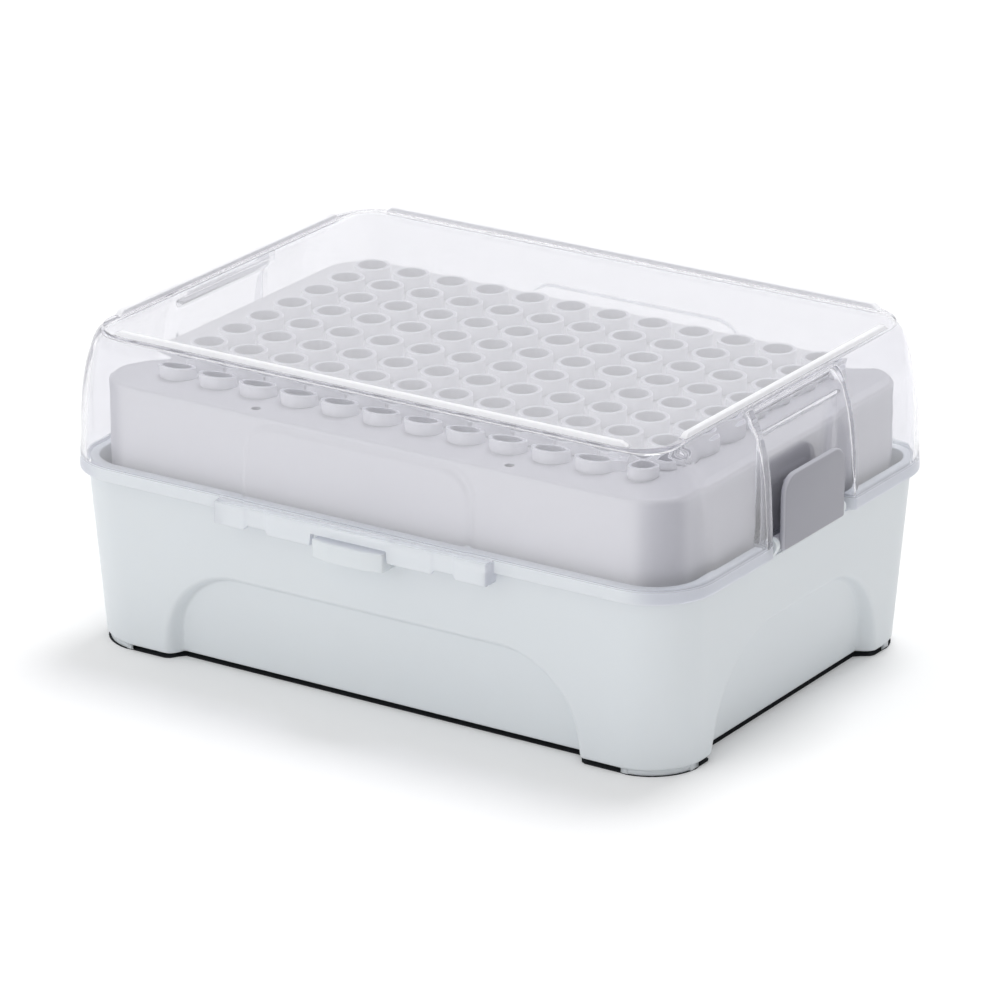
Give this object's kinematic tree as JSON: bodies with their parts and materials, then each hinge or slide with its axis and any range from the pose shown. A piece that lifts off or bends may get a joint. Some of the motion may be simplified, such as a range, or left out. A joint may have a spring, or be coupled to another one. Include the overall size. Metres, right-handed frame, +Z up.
{
  "type": "box of pipette tips",
  "caption": "Hinged laboratory rack box with a clear lid, arched feet, grey side latches and a tray of pipette tips.",
  "frame": {"origin": "middle of the box on the surface it stands on", "axes": "+X along the long side, -Y towards the front with the catch tab, +Z up"},
  "size_m": [0.1342, 0.1024, 0.0628],
  "materials": {
    "base_plastic": "satin moulded polypropylene, pale cool grey",
    "lid_clear": "clear polished polypropylene",
    "tray_plastic": "matt moulded polypropylene, mid grey",
    "tip_plastic": "natural translucent polypropylene",
    "latch_plastic": "matt moulded polypropylene, grey"
  },
  "bodies": {
    "base": {"base": "base_plastic", "tip_tray": "tray_plastic", "tip_column_01": "tip_plastic", "tip_column_02": "tip_plastic", "tip_column_03": "tip_plastic", "tip_column_04": "tip_plastic", "tip_column_05": "tip_plastic", "tip_column_06": "tip_plastic", "tip_column_07": "tip_plastic", "tip_column_08": "tip_plastic", "tip_column_09": "tip_plastic", "tip_column_10": "tip_plastic", "tip_column_11": "tip_plastic", "tip_column_12": "tip_plastic"},
    "lid": {"lid": "lid_clear"},
    "left_latch": {"left_latch": "latch_plastic"},
    "right_latch": {"right_latch": "latch_plastic"}
  },
  "joints": [
    {"name": "lid_hinge", "type": "hinge", "parent": "base", "child": "lid", "pos_m": [0, 0.049, 0.0315], "axis": [-1, 0, 0], "range_deg": [0, 105]},
    {"name": "left_latch_pivot", "type": "hinge", "parent": "base", "child": "left_latch", "pos_m": [-0.065, 0, 0.0355], "axis": [0, -1, 0], "range_deg": [0, 30]},
    {"name": "right_latch_pivot", "type": "hinge", "parent": "base", "child": "right_latch", "pos_m": [0.065, 0, 0.0355], "axis": [0, 1, 0], "range_deg": [0, 30]}
  ]
}
